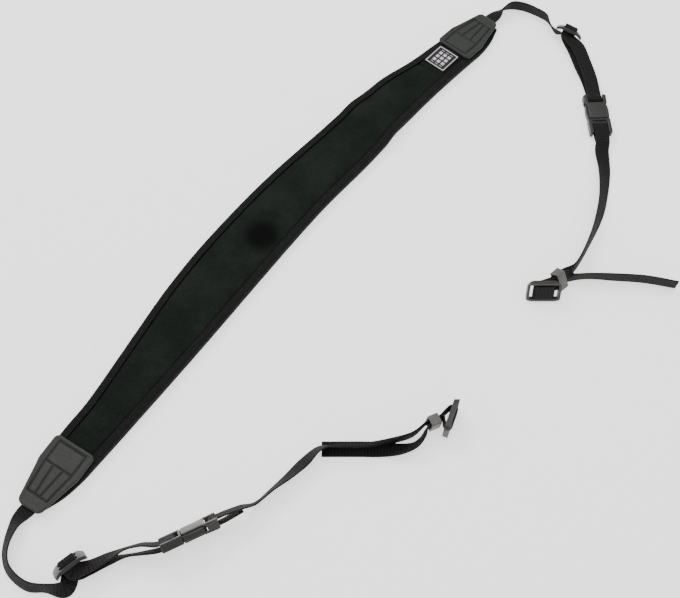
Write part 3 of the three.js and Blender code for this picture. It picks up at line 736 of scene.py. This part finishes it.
def slab(xs, ys, keep, low, high):
    """A flat plate from a grid of cells; keep says which cells are there."""
    bm = bmesh.new()
    bmesh.ops.create_grid(bm, x_segments=len(xs) - 1, y_segments=len(ys) - 1, size=1.0)
    for v in bm.verts:
        i = round((v.co.x + 1) / 2 * (len(xs) - 1))
        j = round((v.co.y + 1) / 2 * (len(ys) - 1))
        v.co = (xs[i], ys[j], low)
    gone = [f for f in bm.faces if not keep(f.calc_center_median().x, f.calc_center_median().y)]
    bmesh.ops.delete(bm, geom=gone, context="FACES")
    top = bmesh.ops.extrude_face_region(bm, geom=list(bm.faces))["geom"]
    moved = [g for g in top if isinstance(g, bmesh.types.BMVert)]
    bmesh.ops.translate(bm, verts=moved, vec=(0, 0, high - low))
    bmesh.ops.recalc_face_normals(bm, faces=bm.faces)
    bmesh.ops.dissolve_limit(bm, angle_limit=0.01, verts=bm.verts, edges=bm.edges)
    return bm


def rounded(bm, pick, radius, segments):
    """Rounds the upright edges whose middle pick accepts."""
    edges = [e for e in bm.edges
             if abs(e.verts[0].co.x - e.verts[1].co.x) + abs(e.verts[0].co.y - e.verts[1].co.y) < 1e-4
             and pick((e.verts[0].co + e.verts[1].co) / 2)]
    bmesh.ops.bevel(bm, geom=edges, offset=radius, segments=segments, profile=0.5, affect="EDGES",
                    material=-1)


def eased(bm, offset, segments=3):
    edges = [e for e in bm.edges if e.calc_face_angle(0) > math.radians(32)]
    bmesh.ops.bevel(bm, geom=edges, offset=offset, segments=segments, profile=0.5, affect="EDGES",
                    material=-1, clamp_overlap=True)


def sliced(bm, axis, places):
    """Cuts loops across a plate, so that it can be bent."""
    for at in places:
        spot, normal = [0.0, 0.0, 0.0], [0.0, 0.0, 0.0]
        spot[axis], normal[axis] = at, 1.0
        bmesh.ops.bisect_plane(bm, geom=list(bm.verts) + list(bm.edges) + list(bm.faces),
                               plane_co=spot, plane_no=normal)


def make_glide(end, finish):
    """A three-bar glide: an oval plate whose two ends curl under."""
    bm = slab([-7.7, -5.6, -1.3, 1.3, 5.6, 7.7], [-12.25, -7, 7, 12.25],
              lambda x, y: not (abs(y) < 7 and 1.3 < abs(x) < 5.6), -1.25, 1.25)
    rounded(bm, lambda c: abs(c.y) > 11, 3.8, 8)
    rounded(bm, lambda c: abs(abs(c.y) - 7) < 0.1, 0.9, 4)
    eased(bm, 0.6, 4)
    sliced(bm, 1, [-11, -10, -9, -8, -6, -3, 0, 3, 6, 8, 9, 10, 11])
    for v in bm.verts:
        past = max(abs(v.co.y) - 7, 0) / 5.25
        v.co.z -= 2.5 * past ** 1.5
    piece = finished(f"three_bar_glide_{end}", bm, finish, place=lie(*GLIDE_PLACE[end]), smooth=38)
    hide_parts(f"glide_{end}")


def make_slider(end, finish):
    """A long oval slider: a thin centre inside a raised, rounded rim."""
    bm = slab([-13.25, -11.15, -6.45, 6.45, 11.15, 13.25], [-8.75, -6.7, 6.7, 8.75],
              lambda x, y: not (abs(y) < 6.7 and 6.45 < abs(x) < 11.15), -1.2, 1.2)
    rounded(bm, lambda c: abs(c.y) > 8.5, 6.2, 10)
    rounded(bm, lambda c: abs(abs(c.y) - 6.7) < 0.1, 1.2, 4)
    eased(bm, 0.55, 4)
    sliced(bm, 1, [-7.7, -7, -6.2, 0, 6.2, 7, 7.7])
    sliced(bm, 0, [-12.2, 12.2])
    for v in bm.verts:
        rim = min(max((abs(v.co.y) - 6.2) / 0.8, (abs(v.co.x) - 10.6) / 0.5, 0), 1)
        v.co.z *= 1 + 0.7 * rim
    piece = finished(f"slider_{end}", bm, finish, place=lie(*SLIDER_PLACE[end]), smooth=38)
    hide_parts(f"camera_slider_{end}")


def make_keeper(end, finish):
    wide, high = 13.8 / 2 + 1.2, 6.2 / 2 + 1.2
    bm = slab([-wide, -wide + 1.2, wide - 1.2, wide], [-high, -high + 1.2, high - 1.2, high],
              lambda x, y: not (abs(x) < wide - 1.2 and abs(y) < high - 1.2), -3.8, 3.8)
    rounded(bm, lambda c: abs(c.x) > wide - 0.3, 1.8, 5)
    eased(bm, 0.3, 2)
    turn = Matrix(((0, 0, 1), (1, 0, 0), (0, 1, 0))).to_4x4()
    piece = finished(f"keeper_loop_{end}", bm, finish, place=lie(*KEEPER_PLACE[end]) @ turn, smooth=38)
    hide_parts(f"keeper_{end}")


def together(shells):
    """Several closed shells as the one mesh of a moulded piece."""
    whole = bmesh.new()
    for shell in shells:
        mesh = bpy.data.meshes.new("shell")
        shell.to_mesh(mesh)
        shell.free()
        whole.from_mesh(mesh)
        bpy.data.meshes.remove(mesh)
    return whole


def block(xs, ys, half, ease):
    """A plain block with softened edges, level about z = 0."""
    bm = slab(list(xs), list(ys), lambda x, y: True, -half, half)
    eased(bm, ease)
    return bm


def socket_plate(low, high):
    """One face of the socket: a straight sleeve that widens into two ears."""
    bm = slab([-5, 9.5, 12.2, 21], [-10.2, -7.9, -6.6, 6.6, 7.9, 10.2],
              lambda x, y: abs(y) < 7.9 and x < 12.2 or abs(y) > 6.6 and x > 12.2 or x > 9.5 and x < 12.2,
              low, high)
    for v in bm.verts:
        if abs(v.co.x - 9.5) < 0.01 and abs(v.co.y) > 10:
            v.co.x, v.co.y = 10.6, math.copysign(8.9, v.co.y)
    rounded(bm, lambda c: c.x > 20 and abs(c.y) > 10, 2.2, 6)
    rounded(bm, lambda c: c.x < -4, 1.6, 5)
    eased(bm, 0.45, 3)
    return bm


def make_socket(end, finish, turn):
    bm = together(
        [socket_plate(2.1, 3.7), socket_plate(-3.7, -2.1), block((-4.4, 12), (-6.8, 6.8), 2.3, 0.2),
         block((16, 18.6), (-7.6, 7.6), 1.3, 0.55)]
        + [block((12.6, 20.8), ys, 2.3, 0.3) for ys in ((-10.05, -7), (7, 10.05))])
    piece = finished(f"socket_{end}", bm, finish, place=lie(*BUCKLE_PLACE[end]) @ turn, smooth=38)
    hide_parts(f"buckle_socket_{end}")


def thumb_pad(side):
    """The sprung arm's grip: it bulges out of the socket's side window."""
    bm = slab([-5.6, 11], [7.2, 10.1] if side > 0 else [-10.1, -7.2], lambda x, y: True, -2.2, 2.2)
    rounded(bm, lambda c: abs(c.y) > 10, 1.3, 5)
    eased(bm, 0.5)
    sliced(bm, 0, [-3, 0, 3, 6, 8])
    for v in bm.verts:
        if abs(v.co.y) > 9:
            v.co.y -= side * 0.8 * ((v.co.x - 3) / 8) ** 2
    return bm


def make_plug(end, finish, turn):
    frame_part = slab([-21, -7.1, -5.4], [-9.6, -6.6, 6.6, 9.6],
                      lambda x, y: abs(y) > 6.6 or x > -7.1, -3.2, 3.2)
    rounded(frame_part, lambda c: c.x < -20, 1.3, 5)
    rounded(frame_part, lambda c: abs(c.x + 7.1) < 0.1, 1.0, 4)
    eased(frame_part, 0.6, 4)
    bm = together([frame_part, block((-13.5, -10.9), (-7.2, 7.2), 1.3, 0.55), thumb_pad(1), thumb_pad(-1)])
    piece = finished(f"plug_{end}", bm, finish, place=lie(*BUCKLE_PLACE[end]) @ turn, smooth=38)
    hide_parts(f"buckle_plug_{end}")


# ------------------------------------------------------------------ assembly

set_up_camera()
set_up_floor()
set_up_light()

web = strap_webbing()
tape = woven_tape()
black_thread = thread("black_thread", grey(34))
dark_nylon = moulding("dark_nylon", (42, 43, 41), 0.38)
grey_nylon = moulding("grey_nylon", (92, 90, 87), 0.45)
# painted light: a paler copy of the dark nylon, standing in for light reflected off the near socket
painted_light_nylon = moulding("painted_light_nylon", (64, 62, 59), 0.36)

make_panel(foam_face())
for way in (1, -1):
    make_binding(way, tape)
sew_band(black_thread)
make_label(woven_label())
make_tab("near", embossed_hide((56, 57, 55), "hide_near"))
make_tab("far", embossed_hide((48, 51, 48), "hide_far"))
for strap_end in ("near", "far"):
    lay_out_webbing(strap_end, web)
    make_glide(strap_end, dark_nylon)
    make_slider(strap_end, dark_nylon)
    make_keeper(strap_end, grey_nylon)
    faced = Matrix.Rotation(0 if strap_end == "near" else math.pi, 4, "Z")
    # painted light: the near socket wears the paler copy of the nylon, the far socket the plain dark nylon
    make_socket(strap_end, painted_light_nylon if strap_end == "near" else dark_nylon, faced)
    make_plug(strap_end, dark_nylon, faced)
